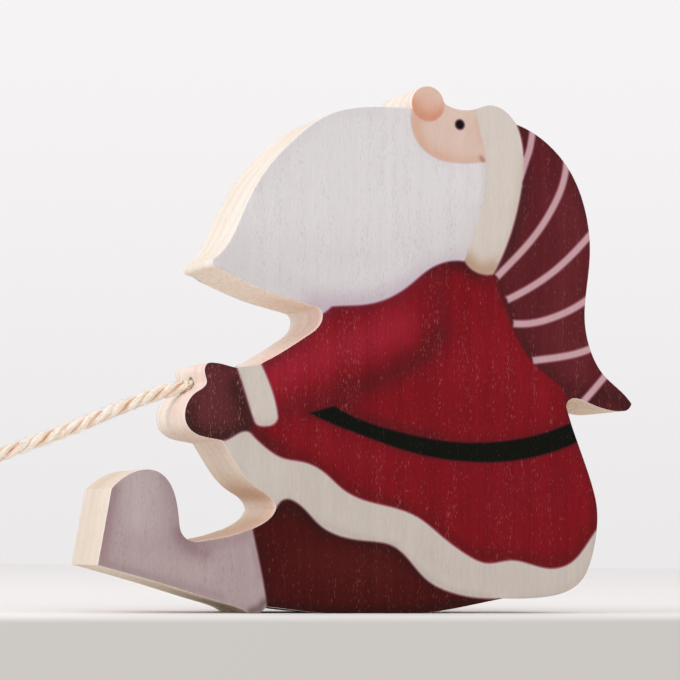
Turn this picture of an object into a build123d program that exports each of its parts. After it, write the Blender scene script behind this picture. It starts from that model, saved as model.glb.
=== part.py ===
"""Tomte pulling a rope: a sawn hardwood figure printed in colour on both faces.

Every size is in millimetres.  X runs from the boot to the tip of the hat, Y from the
front face to the back, Z up.  The origin lies under the middle of the board, on the
surface that the figure stands on.
"""

import os
from math import cos, pi, radians, sin, tan

from build123d import *

# ---------------------------------------------------------------- driving dimensions
FIGURE_HEIGHT = 120.0
BOARD_THICKNESS = 20.0
PRIMER_THICKNESS = 0.10
INK_THICKNESS = 0.12

NOSE_RADIUS = 4.05
EYE_RADIUS = 1.15
STRIPE_WIDTH = 1.7

ROPE_DIAMETER = 3.0
HOLE_CLEARANCE = 0.3
HOLE_DEPTH = 9.0
HOLE_RISE_ANGLE = 5.0
ROPE_END_GAP = 0.6
GLUE_LENGTH = 4.0
GLUE_END_GAP = 0.1

KNOT_LENGTH = 8.0
KNOT_DIAMETER = 7.4
KNOT_SHOULDER_AT = 0.25      # share of the knot's length where its shoulders end
KNOT_SHOULDER_WIDTH = 0.93   # share of the knot's width at its shoulders
TAIL_LENGTH = 9.0
TAIL_SPREAD = 1.6

# ---------------------------------------------------------------- the drawing
# The figure is drawn once at this height, and every drawn point is scaled from it.
DRAWN_HEIGHT = 120.0
SCALE = FIGURE_HEIGHT / DRAWN_HEIGHT
PAPER_LEFT, PAPER_RIGHT = -90.0, 90.0
PAPER_BOTTOM, PAPER_TOP = -15.0, 140.0

TOE = (-64.7, 10.3)
HEEL_NOTCH = (-25.9, 1.4)
HEM_FOOT = (31.6, 3.35)
HAT_NOTCH = (47.7, 47.4)
BRIM_TOP = (34.5, 112.8)
BEARD_TIP = (-39.5, 77.6)
ARM_TOP = (-27.9, 54.9)
CUFF_TOP = (-33.7, 53.9)
MITTEN_FOOT = (-36.8, 37.7)
LAP = (-24.0, 23.0)
BOOT_TOP = (-29.5, 18.5)
NOSE_CENTRE = (12.0, 116.0)
NOSE_START_ANGLE, NOSE_TOP_ANGLE, NOSE_END_ANGLE = 200.0, 95.0, 13.0
EYE_CENTRE = (20.0, 111.7)
HOLE_MOUTH = (-41.2, 50.3)

SOLE = [TOE, (-50.0, 6.40), (-35.5, 2.20), (-31.2, 0.80), (-29.8, 0.0)]
HEEL = [(-27.9, 0.0), (-26.8, 0.6), HEEL_NOTCH]
SEAT = [HEEL_NOTCH, (-20.0, 0.8), (-13.0, 0.1), (-10.0, 0.0)]
SEAT_END = (11.0, 0.0)
SEAT_RISE = [SEAT_END, (17.5, 0.75), (25.0, 2.1), HEM_FOOT]
BACK = [
    HEM_FOOT, (36.5, 3.35), (42.0, 3.7), (47.6, 4.9), (51.6, 7.5), (54.0, 12.0), (55.5, 18.5),
    (55.6, 24.5), (54.2, 30.0), (51.3, 37.6), (48.8, 44.0), HAT_NOTCH,
]
HAT_UNDERSIDE = [
    HAT_NOTCH, (47.9, 48.7), (48.9, 49.5), (50.4, 49.6), (53.6, 48.6), (58.0, 47.3), (63.3, 47.15),
]
HAT_TIP_BEND = (64.15, 47.8)
HAT_TIP = (64.7, 48.8)
HAT_BACK = [
    HAT_TIP, (61.6, 51.9), (57.3, 55.4), (53.8, 61.2), (52.4, 67.5), (52.8, 75.0), (53.7, 84.0),
    (52.5, 93.5), (48.9, 102.0), (43.2, 108.3), BRIM_TOP,
]
BRIM_CROWN = [BRIM_TOP, (32.6, 114.9), (30.2, 116.4), (27.4, 116.8), (24.6, 115.9), (22.4, 115.3)]
FOREHEAD = [(22.4, 115.3), (19.3, 115.3), (17.4, 115.8)]
UNDER_NOSE = (16.5, 116.2)
BEARD_FRONT = [
    (3.5, 114.6), (-3.5, 114.1), (-10.0, 112.7), (-15.2, 110.1), (-21.0, 105.2),
    (-26.0, 99.9), (-29.6, 94.6), (-32.8, 88.0), (-36.6, 80.4), BEARD_TIP,
]
BEARD_TIP_BEND = (-39.5, 76.5)
BEARD_TIP_END = (-38.3, 75.8)
BEARD_UNDERSIDE = [BEARD_TIP_END, (-31.0, 72.7), (-24.0, 70.3), (-17.5, 68.8), (-15.0, 68.2)]
NECK = [(-15.0, 68.2), (-13.7, 67.3), (-13.4, 66.0), (-13.9, 64.4), (-15.3, 62.8)]
ARM = [(-15.3, 62.8), (-20.6, 59.2), (-24.5, 56.8), ARM_TOP]
MITTEN = [
    CUFF_TOP, (-36.2, 54.4), (-38.9, 54.8), (-40.5, 54.5), (-41.1, 53.2), (-40.8, 51.6),
    (-40.6, 50.3), (-41.4, 49.2), (-43.2, 48.0), (-44.9, 45.8), (-45.5, 43.2), (-45.0, 41.0),
    (-43.4, 39.3), (-40.5, 38.3), MITTEN_FOOT,
]
HEM_EDGE = [MITTEN_FOOT, (-34.5, 34.2), (-31.7, 30.3), (-28.5, 27.4), (-25.6, 25.6), LAP]
LAP_EDGE = [LAP, (-24.9, 21.4), (-26.7, 19.9), BOOT_TOP]
BOOT = [
    BOOT_TOP, (-35.0, 16.8), (-40.5, 15.8), (-43.7, 15.7), (-45.5, 16.9), (-46.5, 20.5),
    (-47.3, 25.0), (-48.9, 28.5), (-51.2, 30.5), (-54.3, 31.05), (-57.0, 30.4), (-59.2, 29.2),
    (-60.7, 28.0), (-61.9, 26.7),
]
SHIN = [(-61.9, 26.7), TOE]

# Borders between the printed fields.
BRIM_BACK = [BRIM_TOP, (36.1, 107.5), (36.3, 102.0), (35.3, 95.0), (33.1, 87.0), (30.4, 80.6)]
BRIM_HEEL = [(30.4, 80.6), (29.3, 78.5), (28.7, 77.5)]
BRIM_FRONT = [(23.9, 115.2), (25.4, 109.0), (26.7, 103.0), (26.6, 97.0), (24.8, 89.5), (21.4, 80.1)]
BRIM_FOOT = [(21.4, 80.1), (23.4, 78.2), (26.2, 77.3), (28.7, 77.5)]
HAT_ON_COAT = [
    (28.7, 77.5), (31.2, 71.6), (33.3, 66.2), (36.2, 60.8), (41.0, 55.7), (45.9, 52.3), (47.9, 49.6),
]
FACE_BORDER = [(7.9, 113.6), (8.1, 109.9), (10.3, 106.0), (14.4, 103.5), (20.0, 102.8), (26.6, 103.5)]
COAT_ON_BEARD = [
    (-11.2, 68.3), (-8.0, 68.6), (-3.0, 69.1), (3.0, 71.0), (8.0, 74.2), (12.5, 77.8), (17.0, 79.8),
    (21.4, 80.1),
]
CUFF_INNER = [CUFF_TOP, (-32.2, 50.0), (-30.7, 45.6), (-29.5, 42.3)]
CUFF_FOOT = [(-29.5, 42.3), (-28.7, 41.3), (-27.0, 41.0), (-24.6, 41.7), (-23.8, 43.0)]
CUFF_OUTER = [(-23.8, 43.0), (-24.2, 45.6), (-25.6, 50.0), ARM_TOP]
MITTEN_ON_HEM = [MITTEN_FOOT, (-33.6, 39.1), (-31.5, 39.9), (-30.4, 39.7)]
HEM_TOP = [
    (-30.4, 39.7), (-27.1, 36.8), (-22.5, 34.2), (-17.5, 33.4), (-12.6, 31.2), (-8.0, 27.5),
    (-2.5, 25.1), (4.5, 23.6), (10.5, 21.4), (16.5, 17.1), (22.0, 13.5), (27.5, 11.4), (33.4, 12.1),
    (39.0, 11.1), (44.0, 10.3), (48.8, 11.7), (52.3, 15.2), (55.6, 19.6),
]
HEM_BOTTOM = [
    LAP, (-21.4, 25.1), (-18.0, 23.5), (-13.6, 19.4), (-8.5, 17.0), (-1.5, 16.0), (4.0, 15.0),
    (8.0, 11.9), (12.5, 7.4), (18.0, 4.8), (25.0, 3.45), HEM_FOOT,
]
BOOT_ON_TROUSERS = [BOOT_TOP, (-28.2, 13.0), (-27.0, 7.8), HEEL_NOTCH]
BELT_TOP = [
    (-10.4, 46.1), (-4.0, 43.2), (5.0, 40.8), (15.0, 39.1), (26.0, 38.8), (36.0, 40.0), (49.3, 44.2),
]
BELT_BOTTOM = [
    (50.9, 39.7), (41.0, 36.2), (31.0, 34.5), (20.0, 34.5), (9.0, 36.0), (-1.5, 39.0), (-11.0, 42.1),
    (-16.4, 44.3),
]
STRIPES = [
    [(38.7, 111.8), (38.3, 109.4), (37.8, 107.0), (37.0, 104.7), (36.2, 102.4), (35.4, 100.2)],
    [(47.4, 106.2), (46.6, 100.0), (44.4, 94.9), (41.2, 89.6), (36.2, 83.6), (29.6, 77.0)],
    [(54.5, 89.0), (49.9, 84.1), (44.7, 79.4), (38.6, 75.2), (32.2, 71.8)],
    [(53.7, 73.4), (49.0, 70.4), (44.0, 68.2), (38.6, 66.7), (33.8, 66.4)],
    [(54.9, 61.9), (49.5, 59.9), (44.0, 58.8), (38.8, 58.0)],
    [(58.4, 56.0), (55.2, 52.4), (51.6, 48.6)],
]

# Each colour field is cut with a shape that follows its borders and then goes round outside
# the figure by these corners.
PAPER_CORNER = (PAPER_LEFT, PAPER_BOTTOM)
HAT_WAY_ROUND = [(47.2, 48.3), (PAPER_RIGHT, 40.0), (PAPER_RIGHT, PAPER_TOP), (34.5, PAPER_TOP)]
BRIM_WAY_ROUND = [(45.0, 77.5), (45.0, PAPER_TOP), (23.9, PAPER_TOP)]
FACE_WAY_ROUND = [(40.0, 103.5), (40.0, PAPER_TOP), (7.9, PAPER_TOP)]
BEARD_WAY_ROUND = [
    (40.0, 80.1), (40.0, PAPER_TOP), (PAPER_LEFT, PAPER_TOP), (PAPER_LEFT, 66.0), (-14.4, 65.9),
    (-12.9, 66.9),
]
LEGS_WAY_ROUND = [(HEM_FOOT[0], PAPER_BOTTOM), PAPER_CORNER, (PAPER_LEFT, 40.0), (-42.0, 33.0)]
BOOT_WAY_ROUND = [(HEEL_NOTCH[0], PAPER_BOTTOM), PAPER_CORNER, (PAPER_LEFT, 40.0), (-30.0, 40.0)]
HEM_WAY_ROUND = [(PAPER_RIGHT, 19.6), (PAPER_RIGHT, PAPER_BOTTOM), PAPER_CORNER, (PAPER_LEFT, 37.7)]
CUFF_WAY_ROUND = [(-27.9, 60.0), (-33.7, 60.0)]
MITTEN_WAY_ROUND = [
    (-29.6, 40.9), (-30.4, 39.7), (-30.4, 30.0), (PAPER_LEFT, 30.0), (PAPER_LEFT, 60.0), (-33.7, 60.0),
]
BELT_WAY_ROUND = [(60.0, 44.2), (60.0, 39.7)]

# The rope's route from the bottom of its hole to its knot, in the middle of the board's
# thickness.  The first point is set back from the mouth by the depth that the rope fills.
ROPE_ROUTE = [(-43.5, 50.1), (-53.5, 46.3), (-63.5, 41.9), (-75.0, 37.3), (-86.0, 33.2), (-96.0, 29.7)]
ARC_SHARE = 0.45


# ---------------------------------------------------------------- helpers
def placed(point):
    """A drawn point at the figure's real size."""
    return (point[0] * SCALE, point[1] * SCALE)


def curve(points):
    """A smooth line through drawn points."""
    return Spline(*[placed(p) for p in points])


def straight(*points):
    """Straight lines through drawn points."""
    return Polyline(*[placed(p) for p in points])


def region(*lines):
    """The flat area that the joined lines enclose."""
    return make_face(Curve() + list(lines))


def skin(area, start, thickness):
    """Films of one printed area: the same drawing on the front face and on the back."""
    front = extrude(Plane.XZ.offset(start) * area, thickness)
    return [front, mirror(front, Plane.XZ)]


def solids_of(shapes):
    """All the separate solids in a list of shapes."""
    return [solid for shape in shapes for solid in shape.solids()]


def save(name, shapes, colour):
    """Write one node, which may hold several separate solids."""
    solids = solids_of(shapes)
    node = solids[0] if len(solids) == 1 else Compound(children=solids)
    node.label = name
    node.color = Color(*colour)
    export_step(node, f"parts/{name}.step")


def on_nose(angle):
    """A drawn point on the round end of the nose."""
    x = NOSE_CENTRE[0] + NOSE_RADIUS * cos(radians(angle))
    return (x, NOSE_CENTRE[1] + NOSE_RADIUS * sin(radians(angle)))


# ---------------------------------------------------------------- the board
def outline():
    """The sawn outline of the whole figure."""
    nose_start = on_nose(NOSE_START_ANGLE)
    nose_top = on_nose(NOSE_TOP_ANGLE)
    nose_end = on_nose(NOSE_END_ANGLE)
    return region(
        curve(SOLE), straight(SOLE[-1], HEEL[0]), curve(HEEL),
        curve(SEAT), straight(SEAT[-1], SEAT_END), curve(SEAT_RISE), curve(BACK),
        curve(HAT_UNDERSIDE),
        ThreePointArc(placed(HAT_UNDERSIDE[-1]), placed(HAT_TIP_BEND), placed(HAT_TIP)),
        curve(HAT_BACK), curve(BRIM_CROWN), curve(FOREHEAD),
        curve([FOREHEAD[-1], UNDER_NOSE, nose_end]),
        ThreePointArc(placed(nose_end), placed(nose_top), placed(nose_start)),
        curve([nose_start] + BEARD_FRONT),
        ThreePointArc(placed(BEARD_TIP), placed(BEARD_TIP_BEND), placed(BEARD_TIP_END)),
        curve(BEARD_UNDERSIDE), curve(NECK), curve(ARM), straight(ARM_TOP, CUFF_TOP),
        curve(MITTEN), curve(HEM_EDGE), curve(LAP_EDGE), curve(BOOT), straight(*SHIN),
    )


def hole_direction():
    """The way that the rope's hole is bored, into the board and slightly upward."""
    return Vector(cos(radians(HOLE_RISE_ANGLE)), 0, sin(radians(HOLE_RISE_ANGLE)))


def mouth():
    """The middle of the mouth of the rope's hole."""
    x, z = placed(HOLE_MOUTH)
    return Vector(x, 0, z)


def along_hole(radius, start, end):
    """A round bar on the axis of the hole, from one depth below its mouth to another."""
    way = hole_direction()
    disc = Plane(origin=mouth() + way * start, z_dir=way) * Circle(radius)
    return extrude(disc, end - start)


def make_board(area):
    """The board, sawn square through its thickness, with the blind hole for the rope."""
    board = extrude(Plane.XZ.offset(-BOARD_THICKNESS / 2) * area, BOARD_THICKNESS)
    hole_radius = ROPE_DIAMETER / 2 + HOLE_CLEARANCE
    return board - along_hole(hole_radius, -2 * hole_radius, HOLE_DEPTH)


# ---------------------------------------------------------------- the print
def stripe(points):
    """One band of the hat: an even strip along its middle line."""
    middle = curve(points)
    half = STRIPE_WIDTH / 2
    steps = [i / (len(points) - 1) for i in range(len(points))]
    left, right = [], []
    for step in steps:
        at = middle @ step
        way = middle % step
        side = Vector(-way.Y, way.X) * half
        left.append(at + side)
        right.append(at - side)
    ends = [Line(left[0], right[0]), Line(left[-1], right[-1])]
    return make_face(Curve() + [Spline(*left), Spline(*right)] + ends)


def print_fields(face):
    """Split the printed face into its colour fields, cutting the upper ones out first."""
    hat_area = region(
        curve(BRIM_BACK), curve(BRIM_HEEL), curve(HAT_ON_COAT),
        straight(HAT_ON_COAT[-1], *HAT_WAY_ROUND, BRIM_TOP),
    )
    brim_area = region(
        curve(BRIM_FRONT), curve(BRIM_FOOT),
        straight(BRIM_FOOT[-1], *BRIM_WAY_ROUND, BRIM_FRONT[0]),
    )
    face_area = region(
        curve(FACE_BORDER),
        straight(FACE_BORDER[-1], *FACE_WAY_ROUND, FACE_BORDER[0]),
    )
    beard_area = region(
        curve(COAT_ON_BEARD),
        straight(COAT_ON_BEARD[-1], *BEARD_WAY_ROUND, COAT_ON_BEARD[0]),
    )
    legs_area = region(
        curve(HEM_BOTTOM),
        straight(HEM_FOOT, *LEGS_WAY_ROUND, LAP),
    )
    boot_area = region(
        curve(BOOT_ON_TROUSERS),
        straight(HEEL_NOTCH, *BOOT_WAY_ROUND, BOOT_TOP),
    )
    hem_area = region(
        curve(MITTEN_ON_HEM), curve(HEM_TOP),
        straight(HEM_TOP[-1], *HEM_WAY_ROUND, MITTEN_FOOT),
    )
    cuff_area = region(
        curve(CUFF_INNER), curve(CUFF_FOOT), curve(CUFF_OUTER),
        straight(ARM_TOP, *CUFF_WAY_ROUND, CUFF_TOP),
    )
    mitten_area = region(
        curve(CUFF_INNER),
        straight(CUFF_INNER[-1], *MITTEN_WAY_ROUND, CUFF_TOP),
    )
    belt_area = region(
        curve(BELT_TOP), straight(BELT_TOP[-1], *BELT_WAY_ROUND, BELT_BOTTOM[0]),
        curve(BELT_BOTTOM), straight(BELT_BOTTOM[-1], BELT_TOP[0]),
    )
    nose_area = Pos(*placed(NOSE_CENTRE)) * Circle(NOSE_RADIUS * SCALE)
    eye_area = Pos(*placed(EYE_CENTRE)) * Circle(EYE_RADIUS * SCALE)
    stripe_areas = Sketch() + [stripe(points) for points in STRIPES]

    fields = {}
    rest = face
    cuts = [
        ("nose_print", nose_area), ("eye_print", eye_area), ("hat_print", hat_area),
        ("hat_brim_print", brim_area), ("face_print", face_area), ("beard_print", beard_area),
        ("trousers_print", legs_area), ("hem_print", hem_area), ("cuff_print", cuff_area),
        ("mitten_print", mitten_area), ("belt_print", belt_area),
    ]
    for name, area in cuts:
        fields[name] = rest & area
        rest = rest - area
    fields["coat_print"] = rest
    fields["hat_stripe_print"] = fields["hat_print"] & stripe_areas
    fields["hat_print"] = fields["hat_print"] - stripe_areas
    fields["boot_print"] = fields["trousers_print"] & boot_area
    fields["trousers_print"] = fields["trousers_print"] - boot_area
    return fields


# ---------------------------------------------------------------- the rope
def rope_route():
    """The points of the rope, from the bottom of its hole to its knot."""
    start = mouth() + hole_direction() * (HOLE_DEPTH - ROPE_END_GAP)
    drawn = [placed(p) for p in ROPE_ROUTE]
    return [start] + [Vector(x, 0, z) for x, z in drawn]


def make_rope(route):
    """The taut rope: straight runs joined by arcs as large as the runs allow."""
    radii = []
    for before, here, after in zip(route, route[1:], route[2:]):
        turn = (here - before).get_angle(after - here)
        shorter = min((here - before).length, (after - here).length)
        radii.append(ARC_SHARE * shorter / tan(radians(turn) / 2))
    path = FilletPolyline(*route, radius=radii)
    start_plane = Plane(origin=route[0], z_dir=route[1] - route[0])
    rope = sweep(start_plane * Circle(ROPE_DIAMETER / 2), path=path)
    expected = pi * (ROPE_DIAMETER / 2) ** 2 * path.length
    print("rope arc radii", [round(r, 1) for r in radii])
    print(f"rope length {path.length:.1f}, volume {rope.volume:.1f}, section x length {expected:.1f}")
    return rope


def make_glue():
    """The glue that holds the rope: a sleeve round its end, closed behind it."""
    filled = HOLE_DEPTH - ROPE_END_GAP
    cup = along_hole(ROPE_DIAMETER / 2 + HOLE_CLEARANCE, filled - GLUE_LENGTH, HOLE_DEPTH)
    return cup - along_hole(ROPE_DIAMETER / 2, filled - GLUE_LENGTH - GLUE_END_GAP, filled)


def make_knot(end, way):
    """The body of the overhand knot that stops the rope's far end."""
    neck = ROPE_DIAMETER / 2
    belly = KNOT_DIAMETER / 2
    shoulder = belly * KNOT_SHOULDER_WIDTH
    first = KNOT_LENGTH * KNOT_SHOULDER_AT
    second = KNOT_LENGTH - first
    profile = make_face(Curve() + [
        Line((0, 0), (neck, 0)),
        Spline((neck, 0), (shoulder, first), (belly, KNOT_LENGTH / 2), (shoulder, second),
               (neck, KNOT_LENGTH)),
        Line((neck, KNOT_LENGTH), (0, KNOT_LENGTH)),
        Line((0, KNOT_LENGTH), (0, 0)),
    ])
    body = revolve(Plane.XZ * profile, Axis.Z)
    return Plane(origin=end, z_dir=way) * body


def make_tail(end, way):
    """The short frayed tail beyond the knot, opening like a brush."""
    base = Plane(origin=end + way * KNOT_LENGTH, z_dir=way)
    root = base * Circle(ROPE_DIAMETER / 2)
    brush = base.offset(TAIL_LENGTH) * Circle(ROPE_DIAMETER / 2 * TAIL_SPREAD)
    return loft([root, brush])


# ---------------------------------------------------------------- the whole part
WOOD_COLOUR = (0.87, 0.75, 0.60)
PRIMER_COLOUR = (0.95, 0.95, 0.94)
ROPE_COLOUR = (0.86, 0.77, 0.64)
GLUE_COLOUR = (0.90, 0.88, 0.80)
COLOURS = {
    "nose_print": (0.87, 0.56, 0.42),
    "eye_print": (0.05, 0.03, 0.03),
    "hat_print": (0.22, 0.03, 0.05),
    "hat_stripe_print": (0.72, 0.52, 0.55),
    "hat_brim_print": (0.78, 0.74, 0.67),
    "face_print": (0.88, 0.66, 0.54),
    "beard_print": (0.80, 0.79, 0.79),
    "trousers_print": (0.16, 0.03, 0.03),
    "boot_print": (0.55, 0.46, 0.47),
    "hem_print": (0.70, 0.66, 0.61),
    "cuff_print": (0.74, 0.69, 0.64),
    "mitten_print": (0.18, 0.03, 0.05),
    "belt_print": (0.02, 0.03, 0.02),
    "coat_print": (0.50, 0.03, 0.07),
}


def main():
    os.makedirs("parts", exist_ok=True)
    figure = outline()
    board = make_board(figure)
    save("board", [board], WOOD_COLOUR)

    primer_start = BOARD_THICKNESS / 2
    save("white_primer", skin(figure, primer_start, PRIMER_THICKNESS), PRIMER_COLOUR)
    for name, area in print_fields(figure).items():
        save(name, skin(area, primer_start + PRIMER_THICKNESS, INK_THICKNESS), COLOURS[name])

    route = rope_route()
    way = (route[-1] - route[-2]).normalized()
    save("rope", [make_rope(route)], ROPE_COLOUR)
    save("rope_glue", [make_glue()], GLUE_COLOUR)
    save("rope_knot", [make_knot(route[-1], way)], ROPE_COLOUR)
    save("rope_tail", [make_tail(route[-1], way)], ROPE_COLOUR)


main()
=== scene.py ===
"""Looks of the tomte pulling a rope: a sawn hardwood figure with printed faces, on a pale table."""

from math import cos, pi, radians, sin

import bmesh
import bpy
import numpy as np
from mathutils import Matrix, Vector, kdtree
from mathutils.geometry import delaunay_2d_cdt


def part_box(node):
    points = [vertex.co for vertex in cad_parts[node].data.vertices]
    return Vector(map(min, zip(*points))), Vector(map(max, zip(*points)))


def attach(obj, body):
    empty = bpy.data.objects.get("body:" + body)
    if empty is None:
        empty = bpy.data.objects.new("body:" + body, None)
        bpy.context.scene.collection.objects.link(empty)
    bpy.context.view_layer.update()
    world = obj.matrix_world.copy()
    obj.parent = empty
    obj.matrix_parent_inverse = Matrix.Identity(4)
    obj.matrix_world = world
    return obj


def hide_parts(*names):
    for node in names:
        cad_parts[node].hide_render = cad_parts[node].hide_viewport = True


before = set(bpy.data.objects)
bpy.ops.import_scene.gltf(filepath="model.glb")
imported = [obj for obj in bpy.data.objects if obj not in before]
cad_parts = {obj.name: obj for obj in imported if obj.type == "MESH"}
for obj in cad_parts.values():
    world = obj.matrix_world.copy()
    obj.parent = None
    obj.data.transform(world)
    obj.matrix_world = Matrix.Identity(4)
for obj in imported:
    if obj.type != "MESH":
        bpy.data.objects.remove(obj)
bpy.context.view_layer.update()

MM = 0.001
random = np.random.default_rng(11)

# ---------------------------------------------------------------- sizes
BOARD_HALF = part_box("board")[1][1]
PRIMER_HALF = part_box("white_primer")[1][1]
INK_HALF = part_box("coat_print")[1][1]
ARRIS = 0.30 * MM            # radius of the sanded edge
INK_INSET = 0.06 * MM        # the ink stops this far inside the sawn outline
PRIMER_INSET = 0.02 * MM
BORDER_SOFTNESS = 0.30 * MM  # half the width over which two inks run together
GRID = 0.62 * MM             # spacing of the points that carry the paint
ROW_DEPTHS = (0.10 * MM, 0.22 * MM, 0.38 * MM)
ROW_STEP = 0.5 * MM
LONGEST_CURVED_RUN = 5.0 * MM  # a longer run between two outline points is a straight one

# ---------------------------------------------------------------- camera and cord
AIM = Vector((-0.0092, -0.0102, 0.0609))
CAMERA_DISTANCE = 0.5822
CAMERA_YAW = radians(22.04)
CAMERA_PITCH = radians(4.70)
CAMERA_ROLL = radians(0.53)
LENS = 137.65


def make_camera():
    """A long lens to the left of the figure, close to the table and looking slightly up."""
    forward = Vector((
        sin(CAMERA_YAW) * cos(CAMERA_PITCH), cos(CAMERA_YAW) * cos(CAMERA_PITCH), sin(CAMERA_PITCH)
    ))
    camera = bpy.data.objects.new("camera", bpy.data.cameras.new("camera"))
    camera.data.lens = LENS
    camera.data.sensor_width = 36.0
    camera.data.clip_start = 0.01
    camera.location = AIM - forward * CAMERA_DISTANCE
    turn = forward.to_track_quat("-Z", "Y") @ Matrix.Rotation(CAMERA_ROLL, 3, "Z").to_quaternion()
    camera.rotation_euler = turn.to_euler()
    bpy.context.scene.collection.objects.link(camera)
    bpy.context.scene.camera = camera


# The rope's route, from the bottom of its hole to its knot, in millimetres (X, Z).
HOLE_MOUTH = (-41.2, 50.3)
HOLE_RISE_ANGLE = radians(5.0)
ROPE_IN_HOLE = 8.4
ROPE_ROUTE = [(-43.5, 50.1), (-53.5, 46.3), (-63.5, 41.9), (-75.0, 37.3), (-86.0, 33.2), (-96.0, 29.7)]
ROPE_DIAMETER = 3.0 * MM
ROPE_PITCH = 12.0 * MM
STRANDS = 3
HOLE_DEPTH = 9.0 * MM
HOLE_RADIUS = 1.8 * MM


# ---------------------------------------------------------------- small helpers
def srgb(colour):
    """A screen colour, 0 to 255, as the linear light that Blender works in."""
    c = np.asarray(colour, float) / 255.0
    return np.where(c <= 0.04045, c / 12.92, ((c + 0.055) / 1.055) ** 2.4)


def add_object(name, mesh, nodes):
    """A finished piece: it rides on the body and stands for its CAD nodes."""
    piece = bpy.data.objects.new(name, mesh)
    bpy.context.scene.collection.objects.link(piece)
    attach(piece, "root")
    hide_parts(*nodes)
    return piece


def smooth_step(value):
    """0 below 0, 1 above 1, and a soft curve between."""
    t = np.clip(value, 0.0, 1.0)
    return t * t * (3.0 - 2.0 * t)


# ---------------------------------------------------------------- outlines of the printed fields
def front_loops(node):
    """The closed outlines of a printed node's front, each a list of (x, z)."""
    shape = bmesh.new()
    shape.from_mesh(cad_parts[node].data)
    bmesh.ops.remove_doubles(shape, verts=shape.verts, dist=2e-6)
    front = min(v.co.y for v in shape.verts)
    flat = {f for f in shape.faces if all(v.co.y < front + 2e-6 for v in f.verts)}
    following = {}
    for face in flat:
        for loop in face.loops:
            if sum(f in flat for f in loop.edge.link_faces) == 1:
                following[loop.vert.index] = loop.link_loop_next.vert.index
    places = {v.index: (v.co.x, v.co.z) for v in shape.verts}
    shape.free()
    loops = []
    while following:
        start, here = following.popitem()
        ring = [start]
        while here != start:
            ring.append(here)
            here = following.pop(here)
        loops.append(np.array([places[i] for i in ring]))
    return [ring for ring in loops if len(ring) > 2]


def rounded(ring, step):
    """The ring with points no more than a step apart, on smooth curves between its corners."""
    before, after = np.roll(ring, 1, 0), np.roll(ring, -1, 0)
    a, b = ring - before, after - ring
    length_a, length_b = np.linalg.norm(a, axis=1), np.linalg.norm(b, axis=1)
    turn = np.abs(np.arctan2(a[:, 0] * b[:, 1] - a[:, 1] * b[:, 0], (a * b).sum(1)))
    corner = turn > radians(24)
    way = a / length_a[:, None] * length_b[:, None] + b / length_b[:, None] * length_a[:, None]
    way /= np.maximum(np.linalg.norm(way, axis=1), 1e-12)[:, None]
    points = []
    for i in range(len(ring)):
        j = (i + 1) % len(ring)
        run = length_b[i]
        chord = (ring[j] - ring[i]) / max(run, 1e-12)
        straight = run > LONGEST_CURVED_RUN
        leave = chord if straight or corner[i] else way[i]
        arrive = chord if straight or corner[j] else way[j]
        pieces = max(1, int(np.ceil(run / step)))
        for k in range(pieces):
            t = k / pieces
            h1, h2 = 2 * t**3 - 3 * t**2 + 1, t**3 - 2 * t**2 + t
            h3, h4 = 3 * t**2 - 2 * t**3, t**3 - t**2
            points.append(h1 * ring[i] + h2 * run * leave + h3 * ring[j] + h4 * run * arrive)
    return np.array(points)


def tree_of(points):
    """A search tree over flat points."""
    tree = kdtree.KDTree(len(points))
    for i, (x, z) in enumerate(points):
        tree.insert((x, 0.0, z), i)
    tree.balance()
    return tree


def inward(ring):
    """At each point of a ring, the unit normal to its left, which is inside."""
    way = np.roll(ring, -1, 0) - np.roll(ring, 1, 0)
    normal = np.stack([-way[:, 1], way[:, 0]], 1)
    return normal / np.maximum(np.linalg.norm(normal, axis=1), 1e-12)[:, None]


def is_inside(points, rings):
    """Whether each point lies in the area that the rings bound together."""
    inside = np.zeros(len(points), bool)
    x, z = points[:, 0], points[:, 1]
    for ring in rings:
        for (x0, z0), (x1, z1) in zip(ring, np.roll(ring, -1, 0)):
            if z0 == z1:
                continue
            crosses = (z0 > z) != (z1 > z)
            at = x0 + (z - z0) * (x1 - x0) / (z1 - z0)
            inside ^= crosses & (x < at)
    return inside


FIELDS = {
    "nose_print": "nose_ink", "eye_print": "eye_ink", "hat_print": "hat_ink",
    "hat_stripe_print": "stripe_ink", "hat_brim_print": "brim_ink", "face_print": "face_ink",
    "beard_print": "beard_ink", "trousers_print": "trousers_ink", "boot_print": "boot_ink",
    "hem_print": "trim_ink", "cuff_print": "trim_ink", "mitten_print": "mitten_ink",
    "belt_print": "belt_ink", "coat_print": "coat_ink",
}

outline = rounded(front_loops("white_primer")[0], 0.4 * MM)
fine_outline = rounded(outline, 0.05 * MM)
outline_tree = tree_of(fine_outline)
outline_normals = inward(fine_outline)
if not is_inside(fine_outline[:1] + outline_normals[:1] * 0.2 * MM, [outline])[0]:
    outline_normals = -outline_normals


def edge_depths(points):
    """How far each point lies inside the sawn outline, and which way is inward there."""
    depths = np.empty(len(points))
    ways = np.empty((len(points), 2))
    for i, (x, z) in enumerate(points):
        _, index, distance = outline_tree.find((x, 0.0, z))
        depths[i] = distance
        ways[i] = outline_normals[index]
    return depths, ways


def arris_drop(depths):
    """How far the sanded edge falls away from the flat face."""
    short = np.clip(ARRIS - depths, 0.0, ARRIS)
    return ARRIS - np.sqrt(ARRIS**2 - short**2)


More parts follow.
